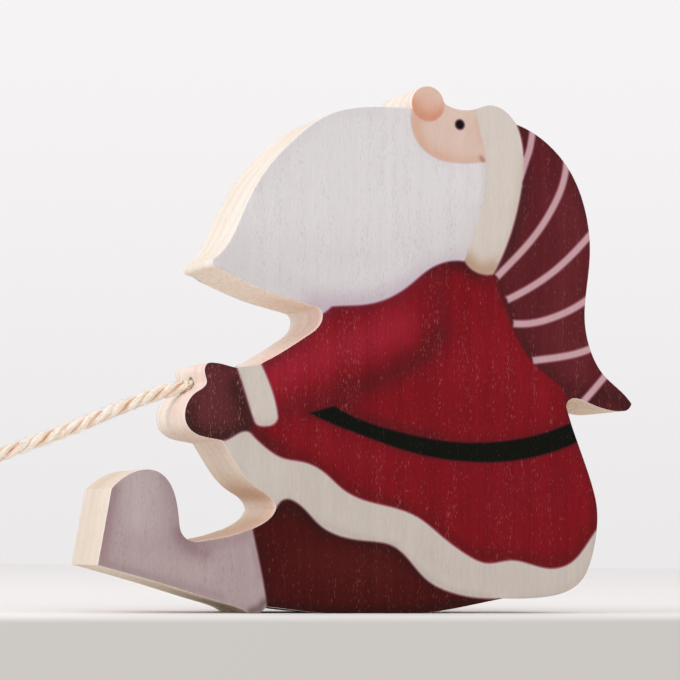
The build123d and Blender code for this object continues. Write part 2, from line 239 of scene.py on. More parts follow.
# ---------------------------------------------------------------- the painting
# Every place is (x, z) in millimetres on the figure, and every colour is 0 to 255.
def to_segments(points, line):
    """Distance from each point to a broken line."""
    best = np.full(len(points), 1e9)
    if len(line) == 1:
        return np.linalg.norm(points - line[0], axis=1)
    for a, b in zip(line, line[1:]):
        a, b = np.asarray(a, float), np.asarray(b, float)
        t = np.clip(((points - a) @ (b - a)) / ((b - a) @ (b - a)), 0, 1)
        best = np.minimum(best, np.linalg.norm(points - a - t[:, None] * (b - a), axis=1))
    return best


BASES = {
    "nose_print": (214, 172, 152), "eye_print": (24, 17, 20), "hat_print": (90, 31, 36),
    "hat_stripe_print": (193, 155, 159), "hat_brim_print": (210, 200, 190),
    "face_print": (214, 187, 172), "beard_print": (217, 213, 212), "trousers_print": (67, 19, 18),
    "boot_print": (171, 151, 151), "hem_print": (195, 185, 175), "cuff_print": (202, 192, 182),
    "mitten_print": (86, 38, 41), "belt_print": (17, 18, 13), "coat_print": (121, 19, 27),
}
# (line, radius of the airbrush, colour, strength)
STROKES = {
    "nose_print": [
        ([(9, 118.6), (12, 120), (15, 118)], 2.6, (219, 188, 171), 0.8),
        ([(7.8, 114.5), (10, 112.8), (13, 112.4), (15.5, 113.6)], 1.9, (207, 143, 114), 0.95),
        ([(7.6, 116.2)], 1.6, (212, 150, 122), 0.7),
    ],
    "face_print": [
        ([(8.6, 112), (9.2, 108), (12, 104.8), (16, 103.6)], 1.7, (211, 168, 145), 0.85),
        ([(16, 103.6), (21, 103.1), (26, 103.6)], 1.3, (211, 172, 153), 0.75),
        ([(25.4, 104.4), (26.2, 103.4)], 0.55, (163, 112, 96), 0.8),
        ([(16.5, 113.5), (20, 114.6), (23, 114.6)], 1.8, (217, 193, 179), 0.7),
        ([(16, 109.5), (20, 108.5)], 2.4, (215, 192, 179), 0.6),
        ([(24.6, 113), (25.4, 108)], 0.9, (209, 172, 155), 0.7),
    ],
    "beard_print": [
        ([(-37, 78), (-30, 75), (-22, 72), (-15, 70)], 5.5, (205, 198, 198), 0.9),
        ([(-15, 68), (-8, 68.8), (0, 70), (7, 73.5), (13, 78), (20, 80.6)], 3.6, (184, 166, 178), 0.75),
        ([(-36, 80), (-20, 79), (0, 79), (12, 84), (22, 88)], 6.0, (210, 205, 204), 0.8),
        ([(21.5, 81), (25, 90), (26.8, 98), (26.6, 102)], 1.5, (204, 198, 197), 0.6),
        ([(-29, 95), (-21, 105), (-12, 111.6), (0, 114)], 1.8, (211, 206, 206), 0.7),
        ([(8.2, 113), (8.6, 108), (12, 104), (18, 102)], 1.0, (207, 203, 202), 0.4),
    ],
    "hat_brim_print": [
        ([(22, 80), (26, 77.8), (29.5, 79.4)], 2.6, (178, 147, 123), 0.95),
        ([(30.6, 81), (33.6, 88), (35.7, 97), (36.6, 105)], 1.5, (199, 184, 172), 0.85),
        ([(24.2, 114), (26.6, 104)], 1.2, (206, 194, 184), 0.5),
        ([(27, 84), (30, 92)], 3.4, (206, 195, 185), 0.6),
    ],
    "hat_print": [
        ([(30, 78), (33.6, 85), (36, 95), (37, 104), (35.5, 112)], 1.6, (72, 31, 34), 0.8),
        ([(29.5, 76), (33, 68), (36.5, 61), (42, 55.2), (47, 51.5)], 2.2, (74, 27, 29), 0.8),
        ([(45, 96), (50, 88), (47, 76), (46, 64), (50, 58)], 4.0, (100, 37, 42), 0.7),
        ([(52, 50), (58, 50.5), (64, 48.8)], 2.6, (66, 28, 29), 0.9),
        ([(53.6, 84), (52.4, 93), (47.4, 103.6), (40, 110)], 0.9, (80, 33, 38), 0.5),
    ],
    "coat_print": [
        ([(-24, 52.6), (-13, 57.5), (-2, 61.5), (5, 64.5)], 5.2, (150, 33, 47), 0.85),
        ([(-27, 55), (-19, 60.3), (-13.6, 65.2), (-11, 68)], 1.6, (112, 33, 43), 0.8),
        ([(-11, 68.3), (-3, 69), (4, 71.2), (9, 75), (14, 78.6)], 1.8, (110, 29, 38), 0.85),
        ([(13.5, 78.6), (17, 79.8), (21, 79.6), (24, 77.8)], 2.2, (72, 24, 27), 0.9),
        ([(26, 76.6), (29.4, 75.6), (31.4, 70.8)], 1.6, (98, 24, 28), 0.7),
        ([(15.4, 78), (15.0, 73), (16.0, 68), (15.4, 62.5)], 2.0, (104, 24, 30), 0.75),
        ([(15.2, 62.5), (12, 58.8), (7.5, 56), (1, 52.6), (-7, 49.4)], 3.0, (94, 23, 28), 0.95),
        ([(-7, 49.4), (-14, 47.4), (-20, 45.6), (-24, 44)], 2.4, (104, 25, 31), 0.8),
        ([(-16.4, 44.4), (-10.4, 46.4), (-4, 43.4), (5, 41), (15, 39.3)], 1.9, (92, 23, 27), 0.85),
        ([(15, 39.3), (26, 39), (36, 40.2), (49, 44.2)], 1.3, (98, 22, 27), 0.6),
        ([(-16.4, 44), (-11, 42), (-1.5, 38.8), (9, 35.8), (20, 34.2)], 0.8, (98, 22, 26), 0.5),
        ([(20, 34.2), (31, 34.2), (41, 36), (50.6, 39.5)], 0.9, (100, 22, 27), 0.5),
        ([(-30, 40.4), (-27, 37.8), (-23, 35.2)], 2.4, (84, 26, 27), 0.85),
        ([(-23, 35.2), (-17, 34.2), (-12, 31.6), (-7, 28), (0, 25.6), (6, 24)], 1.5, (98, 22, 25), 0.8),
        ([(6, 24), (12, 21.6), (18, 17.2), (25, 13.2)], 1.6, (96, 21, 24), 0.75),
        ([(25, 13.2), (33, 12.9), (44, 11.2), (50, 13.2), (55, 19.6)], 2.0, (98, 22, 24), 0.85),
        ([(55.6, 20), (55.8, 26), (53, 34), (50.2, 40)], 1.5, (100, 24, 28), 0.8),
        ([(33.6, 67), (36.6, 61.6), (41.4, 56.4), (46.4, 52.8)], 1.1, (110, 22, 29), 0.5),
        ([(47, 51), (48.2, 46)], 1.3, (98, 22, 27), 0.8),
        ([(20, 55), (28, 62), (34, 56), (40, 51)], 6.0, (134, 24, 34), 0.5),
        ([(-18, 40), (-9, 36), (0, 34)], 3.0, (130, 25, 34), 0.6),
        ([(30, 27), (38, 29), (45, 29)], 6.0, (120, 20, 29), 0.6),
        ([(12, 24), (20, 22), (26, 18)], 3.0, (114, 20, 25), 0.5),
    ],
    "mitten_print": [
        ([(-38.5, 51), (-38.5, 47), (-40, 44.5)], 4.0, (93, 43, 46), 0.8),
        ([(-34, 50), (-31.5, 44), (-30.6, 40.6)], 1.8, (62, 30, 31), 0.85),
        ([(-45, 44), (-44, 40.4), (-40.5, 38.8), (-35, 39.2), (-31, 40.4)], 1.7, (60, 32, 31), 0.85),
        ([(-41, 53.6), (-39, 54.6), (-34, 53.6)], 0.9, (78, 36, 40), 0.6),
    ],
    "hem_print": [
        ([(-34, 36), (-30, 34), (-25, 31)], 4.0, (199, 190, 180), 0.8),
        ([(-24, 23.6), (-21, 25), (-13.6, 19.8), (-5, 17), (4, 15.4)], 0.9, (183, 170, 160), 0.6),
        ([(4, 15.4), (8, 12.2), (13, 7.8), (19, 5), (28, 3.6)], 0.9, (180, 166, 157), 0.6),
        ([(36, 3.6), (46, 4.6), (52, 8.4), (55, 17)], 1.0, (186, 175, 166), 0.6),
        ([(10, 15), (22, 9), (36, 8)], 3.2, (192, 181, 172), 0.7),
    ],
    "cuff_print": [
        ([(-29.3, 42.4), (-27, 41.3), (-24.2, 42.4)], 0.9, (190, 177, 166), 0.7),
        ([(-33.2, 52.6), (-30.4, 45.6)], 0.6, (190, 176, 167), 0.6),
    ],
    "trousers_print": [
        ([(-16, 12), (-8, 11), (2, 9)], 4.5, (77, 25, 23), 0.85),
        ([(-24.4, 22), (-21.5, 24), (-17, 22), (-12, 18)], 1.6, (50, 23, 21), 0.9),
        ([(-12, 18), (-5, 16), (4, 14.4), (9, 10), (14, 6)], 1.1, (54, 22, 20), 0.7),
        ([(-26, 2), (-10, 0.6), (8, 0.6), (24, 2.6)], 1.3, (47, 20, 18), 0.85),
        ([(-28.6, 17), (-27, 10), (-26, 3)], 1.1, (55, 22, 22), 0.7),
    ],
    "boot_print": [
        ([(-55.5, 28), (-55.5, 21)], 4.6, (184, 167, 167), 0.9),
        ([(-58, 12), (-48, 10.5), (-40, 8.4)], 3.0, (176, 157, 155), 0.7),
        ([(-61.8, 27), (-63, 19), (-64.4, 11)], 1.7, (151, 125, 126), 0.85),
        ([(-49.4, 29.2), (-47.4, 25), (-46.4, 19), (-45, 16)], 1.6, (160, 137, 140), 0.8),
        ([(-46, 17), (-43.6, 14.6), (-41, 14)], 2.2, (141, 116, 119), 0.85),
        ([(-41, 14.4), (-35, 15.6), (-30, 17.4)], 1.4, (160, 136, 137), 0.7),
        ([(-64, 11), (-50, 7.2), (-36, 3.4)], 0.9, (158, 135, 136), 0.7),
        ([(-29.6, 0.6), (-27.8, 1.0), (-26.6, 2.4)], 0.9, (108, 90, 86), 0.85),
        ([(-29.2, 15), (-27.8, 8)], 0.9, (158, 135, 137), 0.6),
    ],
}


def painted(field, points):
    """The colour of a field at each point, before its border runs into the next."""
    colour = np.tile(np.array(BASES[field], float), (len(points), 1))
    spots = points / MM
    for line, radius, ink, strength in STROKES.get(field, []):
        spread = strength * np.exp(-((to_segments(spots, np.array(line, float)) / radius) ** 2))
        colour += (np.array(ink, float) - colour) * spread[:, None]
    return colour


def prepare_borders(rings_of):
    """A search tree of the borders between fields, with the field on the far side of each."""
    points, owners = [], []
    for field, rings in rings_of.items():
        for ring in rings:
            fine = rounded(ring, 0.15 * MM)
            depths, _ = edge_depths(fine)
            for spot in fine[depths > 0.12 * MM]:
                points.append(spot)
                owners.append(field)
    return tree_of(points), owners


FRINGE = (128, 40, 96)
FRINGE_STRENGTH = 0.28


def with_soft_borders(field, points, border_tree, owners):
    """A field's paint with its borders run softly into its neighbours', as airbrushed ink does."""
    colour = painted(field, points)
    neighbours = {}
    nearest = np.full(len(points), 1.0)
    for i, (x, z) in enumerate(points):
        for _, index, distance in border_tree.find_range((x, 0.0, z), BORDER_SOFTNESS):
            if owners[index] != field and distance < nearest[i]:
                nearest[i] = distance
                neighbours[i] = owners[index]
    for other in sorted(set(neighbours.values())):
        at = np.array([i for i, name in neighbours.items() if name == other])
        share = 0.5 * (1.0 - smooth_step(nearest[at] / BORDER_SOFTNESS))
        theirs = painted(other, points[at])
        contrast = np.abs(theirs - colour[at]).max(1) / 255.0
        colour[at] += (theirs - colour[at]) * share[:, None]
        tint = (FRINGE_STRENGTH * 4.0 * share * (1.0 - share) * contrast)[:, None]
        colour[at] += (np.array(FRINGE, float) - colour[at]) * tint
    return colour


# ---------------------------------------------------------------- film meshes
def triangles_of(points, rings):
    """Triangles over the points, kept to the area that the rings bound.  The rings come first."""
    edges, start = [], 0
    for ring in rings:
        count = len(ring)
        edges += [(start + i, start + (i + 1) % count) for i in range(count)]
        start += count
    result = delaunay_2d_cdt([Vector(p) for p in points], edges, [], 0, 1e-9)
    corners, faces = np.array([tuple(v) for v in result[0]]), np.array(result[2])
    centres = corners[faces].mean(1)
    return corners, faces[is_inside(centres, rings)]


def clear_of(points, tree, gap):
    """The points that lie farther than a gap from the borders in a tree."""
    gaps = np.array([tree.find((x, 0.0, z))[2] for x, z in points])
    return points[gaps > gap]


def filled(rings, grid, depths_of_rows):
    """Points over an area: its rings, rows that follow them inside, and an even grid."""
    border = np.concatenate(rings)
    tree = tree_of(np.concatenate([rounded(ring, 0.1 * MM) for ring in rings]))
    inner = []
    for ring in rings:
        spaced = rounded(ring, ROW_STEP)
        normals = inward(spaced)
        for depth in depths_of_rows:
            inner += [spaced + normals * depth, spaced - normals * depth]
    low, high = border.min(0), border.max(0)
    xs = np.arange(low[0] + grid / 2, high[0], grid)
    zs = np.arange(low[1] + grid / 2, high[1], grid)
    rows = [np.stack([xs + (i % 2) * grid / 2, np.full(len(xs), z)], 1) for i, z in enumerate(zs)]
    inner, lattice = np.concatenate(inner), np.concatenate(rows)
    inner = clear_of(inner[is_inside(inner, rings)], tree, 0.8 * depths_of_rows[0])
    lattice = clear_of(lattice[is_inside(lattice, rings)], tree, depths_of_rows[-1] + 0.15 * MM)
    return np.concatenate([border, inner, lattice])


def film_mesh(name, rings, top, bottom, inset, grid, paint=None):
    """Thin films on the front and back: the drawn area, bent over the board's sanded edge."""
    flat = filled(rings, grid, ROW_DEPTHS)
    corners, faces = triangles_of(flat, rings)
    depths, ways = edge_depths(corners)
    push = np.clip(inset - depths, 0.0, inset)
    corners = corners + ways * push[:, None]
    depths = depths + push
    drop = arris_drop(depths)
    lows, low_faces = triangles_of(np.concatenate(rings), rings)
    low_depths, low_ways = edge_depths(lows)
    low_push = np.clip(inset - low_depths, 0.0, inset)
    lows = lows + low_ways * low_push[:, None]
    low_drop = arris_drop(low_depths + low_push)

    verts, polygons, colours = [], [], []
    for side in (-1.0, 1.0):
        start = len(verts)
        verts += [(x, side * (top - d), z) for (x, z), d in zip(corners, drop)]
        base = len(verts)
        verts += [(x, side * (bottom - d), z) for (x, z), d in zip(lows, low_drop)]
        outward = faces if side < 0 else faces[:, ::-1]
        polygons += (outward + start).tolist()
        hidden = low_faces[:, ::-1] if side < 0 else low_faces
        polygons += (hidden + base).tolist()
        first = 0
        for ring in rings:
            count = len(ring)
            for i in range(count):
                j = (i + 1) % count
                quad = [start + first + i, base + first + i, base + first + j, start + first + j]
                polygons.append(quad if side < 0 else quad[::-1])
            first += count
        if paint is not None:
            colours += [paint(corners), paint(lows)]
    mesh = bpy.data.meshes.new(name)
    mesh.from_pydata(verts, [], polygons)
    shape = bmesh.new()
    shape.from_mesh(mesh)
    bmesh.ops.recalc_face_normals(shape, faces=shape.faces)
    for face in shape.faces:
        face.smooth = True
    for edge in shape.edges:
        if len(edge.link_faces) == 2 and edge.calc_face_angle() > radians(50):
            edge.smooth = False
    shape.to_mesh(mesh)
    shape.free()
    if paint is not None:
        layer = mesh.color_attributes.new("paint", "FLOAT_COLOR", "POINT")
        rgba = np.ones((len(verts), 4), np.float32)
        rgba[:, :3] = srgb(np.concatenate(colours))
        layer.data.foreach_set("color", rgba.ravel())
    return mesh


# ---------------------------------------------------------------- materials
WOOD_LIGHT, WOOD_MIDDLE = (239, 232, 223), (233, 224, 212)
WOOD_LATE, WOOD_PORE = (216, 199, 180), (190, 160, 132)
END_GRAIN_LIGHT, END_GRAIN_DARK = (241, 227, 210), (200, 173, 146)
# the colour on the next line is painted shade for the leg's top and the end grain under the hat
END_GRAIN_SHADE = (188, 148, 114)
INK_MIST = (255, 218, 221)


def new_material(name):
    """An empty node material, its node tree and its shader."""
    material = bpy.data.materials.new(name)
    material.use_nodes = True
    tree = material.node_tree
    tree.nodes.clear()
    output = tree.nodes.new("ShaderNodeOutputMaterial")
    shader = tree.nodes.new("ShaderNodeBsdfPrincipled")
    tree.links.new(shader.outputs[0], output.inputs[0])
    return material, tree, shader


def node(tree, kind, settings=None, inputs=None):
    """One node with its settings, and its inputs linked or set."""
    made = tree.nodes.new("ShaderNode" + kind)
    for name, value in (settings or {}).items():
        setattr(made, name, value)
    for key, value in (inputs or {}).items():
        socket = made.inputs[key]
        if isinstance(value, bpy.types.NodeSocket):
            tree.links.new(value, socket)
        else:
            socket.default_value = value
    return made


def stretched(tree, scale):
    """Object coordinates in metres, scaled on each axis."""
    place = node(tree, "TexCoord").outputs["Object"]
    return node(tree, "Mapping", None, {"Vector": place, "Scale": scale}).outputs[0]


def noise_of(tree, vector, detail=2.0, rough=0.5):
    """Smooth noise from 0 to 1, about one lump to a unit of the vector."""
    return node(tree, "TexNoise", None, {
        "Vector": vector, "Scale": 1.0, "Detail": detail, "Roughness": rough,
    }).outputs["Fac"]


def between(tree, value, low, high, to_low=0.0, to_high=1.0):
    """A value spread from one range to another, and held inside it."""
    return node(tree, "MapRange", {"interpolation_type": "SMOOTHSTEP"}, {
        "Value": value, "From Min": low, "From Max": high, "To Min": to_low, "To Max": to_high,
    }).outputs["Result"]


def maths(tree, operation, a, b):
    """One sum, product or other operation on two values."""
    return node(tree, "Math", {"operation": operation}, {0: a, 1: b}).outputs[0]


def mixed(tree, factor, a, b, blend="MIX"):
    """Two colours mixed by a factor."""
    return node(tree, "Mix", {"data_type": "RGBA", "blend_type": blend}, {
        "Factor": factor, 6: a, 7: b,
    }).outputs[2]


def rgba(colour):
    """A screen colour as a shader takes it."""
    return (*srgb(colour), 1.0)


def surface(tree, shader, colour, roughness, relief, strength, height):
    """Links a colour and a roughness to the shader, and a relief of a given height."""
    bump = node(tree, "Bump", None, {"Height": relief, "Strength": strength, "Distance": height})
    tree.links.new(colour, shader.inputs["Base Color"])
    tree.links.new(roughness, shader.inputs["Roughness"])
    tree.links.new(bump.outputs[0], shader.inputs["Normal"])


def ink_material(name, fleck, fleck_strength, fleck_edge, streak):
    """Matt ink printed on open wood grain: fine streaks, and pores that the ink didn't fill."""
    material, tree, shader = new_material(name)
    paint = node(tree, "VertexColor", {"layer_name": "paint"}).outputs["Color"]
    threads = noise_of(tree, stretched(tree, (3000, 900, 260)), 3.0, 0.65)
    bands = noise_of(tree, stretched(tree, (330, 200, 9)), 3.0, 0.55)
    tone = maths(tree, "ADD", between(tree, threads, 0.25, 0.75, -streak, streak),
                 between(tree, bands, 0.3, 0.7, -0.6 * streak, 0.6 * streak))
    tone = maths(tree, "ADD", tone, 1.0)
    grey = node(tree, "CombineColor", None, {0: tone, 1: tone, 2: tone}).outputs[0]
    toned = mixed(tree, 1.0, paint, grey, "MULTIPLY")
    pores = noise_of(tree, stretched(tree, (4300, 1100, 900)), 2.0, 0.6)
    crowd = noise_of(tree, stretched(tree, (520, 300, 26)), 3.0, 0.6)
    edge = between(tree, crowd, 0.38, 0.70, fleck_edge + 0.07, fleck_edge - 0.05)
    open_pore = between(tree, maths(tree, "SUBTRACT", pores, edge), 0.0, 0.07)
    strength = maths(tree, "MULTIPLY", open_pore, fleck_strength)
    relief = maths(tree, "SUBTRACT", maths(tree, "MULTIPLY", threads, 0.5), open_pore)
    surface(tree, shader, mixed(tree, strength, toned, rgba(fleck)),
            between(tree, threads, 0.2, 0.8, 0.55, 0.70), relief, 0.7, 0.06 * MM)
    shader.inputs["Specular IOR Level"].default_value = 0.03
    return material


def wood_material():
    """Pale bare hardwood: upright growth rings, fine pores, tan end grain, ink mist at the edge, darker
    towards the bottom, and painted shade on faces that look down, on the leg's top and on the end grain at
    the right.
    """
    material, tree, shader = new_material("bare_wood")
    place = node(tree, "TexCoord").outputs["Object"]
    wobble = noise_of(tree, stretched(tree, (26, 26, 8)), 3.0, 0.55)
    split = node(tree, "SeparateXYZ", None, {0: place})
    across = maths(tree, "ADD", maths(tree, "MULTIPLY", split.outputs[0], 55.0),
                   maths(tree, "MULTIPLY", split.outputs[1], 190.0))
    across = maths(tree, "ADD", across, maths(tree, "MULTIPLY", wobble, 4.0))
    ring = maths(tree, "FRACT", across, 0.0)
    late = maths(tree, "MULTIPLY", between(tree, ring, 0.30, 0.90), between(tree, ring, 1.0, 0.93))
    fine = noise_of(tree, stretched(tree, (1700, 1700, 260)), 4.0, 0.65)
    cloud = noise_of(tree, stretched(tree, (90, 90, 40)), 3.0, 0.55)
    pores = noise_of(tree, stretched(tree, (2900, 2900, 620)), 1.0, 0.5)
    pore = between(tree, pores, 0.60, 0.72)
    light = mixed(tree, between(tree, cloud, 0.35, 0.65), rgba(WOOD_LIGHT), rgba(WOOD_MIDDLE))
    # darker towards the bottom of the figure
    lower_darkening = between(tree, split.outputs[2], 0.048, 0.014, 0.0, 0.60)
    darker = mixed(tree, lower_darkening, light, rgba(WOOD_LATE))
    ringed = mixed(tree, maths(tree, "MULTIPLY", late, 0.30), darker, rgba(WOOD_LATE))
    grained = mixed(tree, between(tree, fine, 0.35, 0.75, 0.0, 0.30), ringed, rgba(WOOD_LATE))
    pored = mixed(tree, maths(tree, "MULTIPLY", pore, 0.30), grained, rgba(WOOD_PORE))
    facing = node(tree, "SeparateXYZ", None, {0: node(tree, "NewGeometry").outputs["Normal"]}).outputs[2]
    end_grain = between(tree, maths(tree, "ABSOLUTE", facing, 0.0), 0.35, 0.98)
    speck = noise_of(tree, stretched(tree, (1500, 1500, 1500)), 3.0, 0.7)
    end_tone = mixed(tree, between(tree, speck, 0.35, 0.70), rgba(END_GRAIN_LIGHT), rgba(END_GRAIN_DARK))
    height = split.outputs[2]
    # painted shade: the leg's top under the hem, and the end grain at the right, under the hat
    leg = maths(tree, "MULTIPLY", between(tree, height, 0.034, 0.024), between(tree, height, 0.012, 0.018))
    low = maths(tree, "ADD", leg, between(tree, split.outputs[0], 0.044, 0.054, 0.0, 0.6))
    end_tone = mixed(tree, maths(tree, "MULTIPLY", low, 0.75), end_tone, rgba(END_GRAIN_SHADE))
    # the end grain is tan on every face; the extra tan on faces that look down is painted shade
    strength = maths(tree, "ADD", between(tree, facing, 0.2, -0.2, 0.25, 0.60),
                     maths(tree, "MULTIPLY", low, 0.35))
    tanned = mixed(tree, maths(tree, "MULTIPLY", end_grain, strength), pored, end_tone)
    mist = node(tree, "Attribute", {"attribute_name": "mist"}).outputs["Fac"]
    dust = between(tree, noise_of(tree, stretched(tree, (520, 520, 170)), 3.0, 0.6), 0.25, 0.75, 0.45, 1.0)
    misted = mixed(tree, maths(tree, "MULTIPLY", mist, dust), tanned, rgba(INK_MIST), "MULTIPLY")
    relief = maths(tree, "SUBTRACT", maths(tree, "MULTIPLY", fine, 0.6), maths(tree, "MULTIPLY", pore, 0.8))
    surface(tree, shader, misted, between(tree, fine, 0.2, 0.8, 0.60, 0.78), relief, 0.5, 0.06 * MM)
    shader.inputs["Specular IOR Level"].default_value = 0.12
    return material


def primer_material():
    """White print primer, thinly rubbed through along the sanded edge."""
    material, tree, shader = new_material("primer")
    rub = noise_of(tree, stretched(tree, (700, 700, 420)), 3.0, 0.6)
    colour = mixed(tree, between(tree, rub, 0.45, 0.7, 0.0, 0.5), rgba((240, 236, 236)),
                   rgba((226, 215, 208)))
    surface(tree, shader, colour, between(tree, rub, 0.3, 0.7, 0.5, 0.7), rub, 0.2, 0.03 * MM)
    return material


def rope_material():
    """Combed plant fibre: pale yarns, with tan painted shade in the crevices where the strands meet."""
    material, tree, shader = new_material("rope_fibre")
    outer = node(tree, "Attribute", {"attribute_name": "outer"}).outputs["Fac"]
    along = node(tree, "UVMap", {"uv_map": "lay"}).outputs[0]
    hairs = noise_of(tree, node(tree, "Mapping", None, {"Vector": along, "Scale": (34, 5, 1)}).outputs[0],
                     3.0, 0.65)
    patches = noise_of(tree, stretched(tree, (260, 260, 260)), 2.0, 0.5)
    pale = mixed(tree, between(tree, hairs, 0.30, 0.72), rgba((236, 218, 196)), rgba((255, 250, 242)))
    warm = mixed(tree, between(tree, patches, 0.50, 0.78, 0.0, 0.55), pale, rgba((238, 204, 168)))
    # painted shade: tan in the crevices between the strands, where the outer mask is low
    crevice_shaded = mixed(tree, outer, rgba((222, 172, 126)), warm)
    surface(tree, shader, crevice_shaded, between(tree, hairs, 0.3, 0.7, 0.85, 0.65), hairs, 0.9, 0.15 * MM)
    shader.inputs["Specular IOR Level"].default_value = 0.2
    shader.inputs["Sheen Weight"].default_value = 0.25
    return material


def glue_material():
    """Dried white glue, slightly uneven."""
    material, tree, shader = new_material("glue")
    lumps = noise_of(tree, stretched(tree, (900, 900, 900)), 2.0, 0.5)
    colour = mixed(tree, between(tree, lumps, 0.3, 0.7), rgba((238, 232, 214)), rgba((226, 214, 188)))
    surface(tree, shader, colour, between(tree, lumps, 0.3, 0.7, 0.25, 0.45), lumps, 0.4, 0.05 * MM)
    return material


# ---------------------------------------------------------------- board and primer
BOARD_ROWS = (0.03 * MM, 0.09 * MM, 0.18 * MM, 0.30 * MM)
WALL_RINGS = 8


def board_mesh():
    """The sawn board: two faces with sanded edges, and the wall between them."""
    flat = filled([outline], 2.5 * MM, BOARD_ROWS)
    corners, faces = triangles_of(flat, [outline])
    depths, _ = edge_depths(corners)
    drop = arris_drop(depths)
    count = len(corners)
    ring = len(outline)
    verts = [(x, d - BOARD_HALF, z) for (x, z), d in zip(corners, drop)]
    verts += [(x, BOARD_HALF - d, z) for (x, z), d in zip(corners, drop)]
    polygons = faces.tolist() + (faces[:, ::-1] + count).tolist()
    edge_y = BOARD_HALF - ARRIS
    previous = list(range(ring))
    for k in range(1, WALL_RINGS + 1):
        if k == WALL_RINGS:
            level = [count + i for i in range(ring)]
        else:
            start = len(verts)
            y = -edge_y + 2 * edge_y * k / WALL_RINGS
            verts += [(x, y, z) for x, z in corners[:ring]]
            level = list(range(start, start + ring))
        for i in range(ring):
            j = (i + 1) % ring
            polygons.append([previous[i], level[i], level[j], previous[j]])
        previous = level
    mesh = bpy.data.meshes.new("board")
    mesh.from_pydata(verts, [], polygons)
    return mesh


def bored(mesh):
    """The board mesh with the rope's hole cut into it."""
    cutter = bpy.data.objects.new("drill", bpy.data.meshes.new("drill"))
    shape = bmesh.new()
    length = 16 * MM
    bmesh.ops.create_cone(shape, cap_ends=True, segments=48, radius1=HOLE_RADIUS, radius2=HOLE_RADIUS,
                          depth=length)
    shape.to_mesh(cutter.data)
    shape.free()
    way = Vector((cos(HOLE_RISE_ANGLE), 0, sin(HOLE_RISE_ANGLE)))
    start = Vector((HOLE_MOUTH[0] * MM, 0, HOLE_MOUTH[1] * MM))
    cutter.rotation_euler = way.to_track_quat("Z", "Y").to_euler()
    cutter.location = start + way * (HOLE_DEPTH - length / 2)
    blank = bpy.data.objects.new("blank", mesh)
    for item in (cutter, blank):
        bpy.context.scene.collection.objects.link(item)
    cut = blank.modifiers.new("cut", "BOOLEAN")
    cut.operation = "DIFFERENCE"
    cut.solver = "EXACT"
    cut.object = cutter
    bpy.context.view_layer.update()
    result = bpy.data.meshes.new_from_object(blank.evaluated_get(bpy.context.evaluated_depsgraph_get()))
    for item in (cutter, blank):
        bpy.data.objects.remove(item)
    return result


def sharpened(mesh, angle):
    """Smooth shading, with the edges sharper than an angle kept crisp."""
    shape = bmesh.new()
    shape.from_mesh(mesh)
    bmesh.ops.recalc_face_normals(shape, faces=shape.faces)
    for face in shape.faces:
        face.smooth = True
    for edge in shape.edges:
        edge.smooth = len(edge.link_faces) != 2 or edge.calc_face_angle() < angle
    shape.to_mesh(mesh)
    shape.free()
    return mesh


# Where ink mist reached the sawn edge: (line, radius, strength).
MISTS = [
    ([(-28, 55), (-20, 60), (-14, 65)], 4.0, 0.80),
    ([(-41, 54), (-42, 47), (-45, 44)], 4.0, 0.65),
    ([(-45, 42), (-40, 38), (-36, 36)], 3.0, 0.35),
    ([(-24, 23), (-27, 20), (-34, 17)], 3.5, 0.45),
    ([(-14, 67), (-20, 69)], 3.0, 0.35),
]


def edge_mist(mesh):
    """The ink mist on the sawn edge, stronger towards the front face."""
    places = np.array([tuple(v.co) for v in mesh.vertices])
    flat = places[:, [0, 2]] / MM
    mist = np.zeros(len(places))
    for line, radius, strength in MISTS:
        reach = to_segments(flat, np.array(line, float)) / radius
        mist = np.maximum(mist, strength * np.exp(-(reach**2)))
    front = smooth_step((0.6 * BOARD_HALF - places[:, 1]) / (1.6 * BOARD_HALF))
    layer = mesh.attributes.new("mist", "FLOAT", "POINT")
    layer.data.foreach_set("value", mist * (0.30 + 0.70 * front))


def make_board():
    """The sawn and sanded board, bored for its rope."""
    mesh = sharpened(bored(board_mesh()), radians(35))
    edge_mist(mesh)
    mesh.materials.append(wood_material())
    add_object("sawn_board", mesh, ["board"])


def make_primer():
    """The white film under the print, front and back."""
    mesh = film_mesh("primer_film", [outline], PRIMER_HALF, BOARD_HALF, PRIMER_INSET, 3.0 * MM)
    mesh.materials.append(primer_material())
    add_object("primer_film", mesh, ["white_primer"])


# ---------------------------------------------------------------- print
# material: colour of the open pores, how strongly they show, how few there are, streak depth
INKS = {
    "nose_ink": ((232, 200, 184), 0.25, 0.62, 0.035),
    "eye_ink": ((60, 50, 50), 0.20, 0.62, 0.050),
    "hat_ink": ((158, 100, 96), 0.34, 0.600, 0.120),
    "stripe_ink": ((224, 196, 196), 0.30, 0.62, 0.035),
    "brim_ink": ((228, 222, 212), 0.34, 0.60, 0.034),
    "face_ink": ((232, 208, 192), 0.30, 0.61, 0.030),
    "beard_ink": ((192, 187, 184), 0.24, 0.60, 0.030),
    "trousers_ink": ((132, 82, 72), 0.36, 0.595, 0.120),
    "boot_ink": ((146, 126, 122), 0.35, 0.60, 0.050),
    "trim_ink": ((216, 208, 198), 0.36, 0.60, 0.042),
    "mitten_ink": ((160, 118, 110), 0.46, 0.575, 0.120),
    "belt_ink": ((84, 80, 72), 0.30, 0.615, 0.080),
    "coat_ink": ((184, 98, 96), 0.36, 0.598, 0.130),
}
LAYER = 0.002 * MM


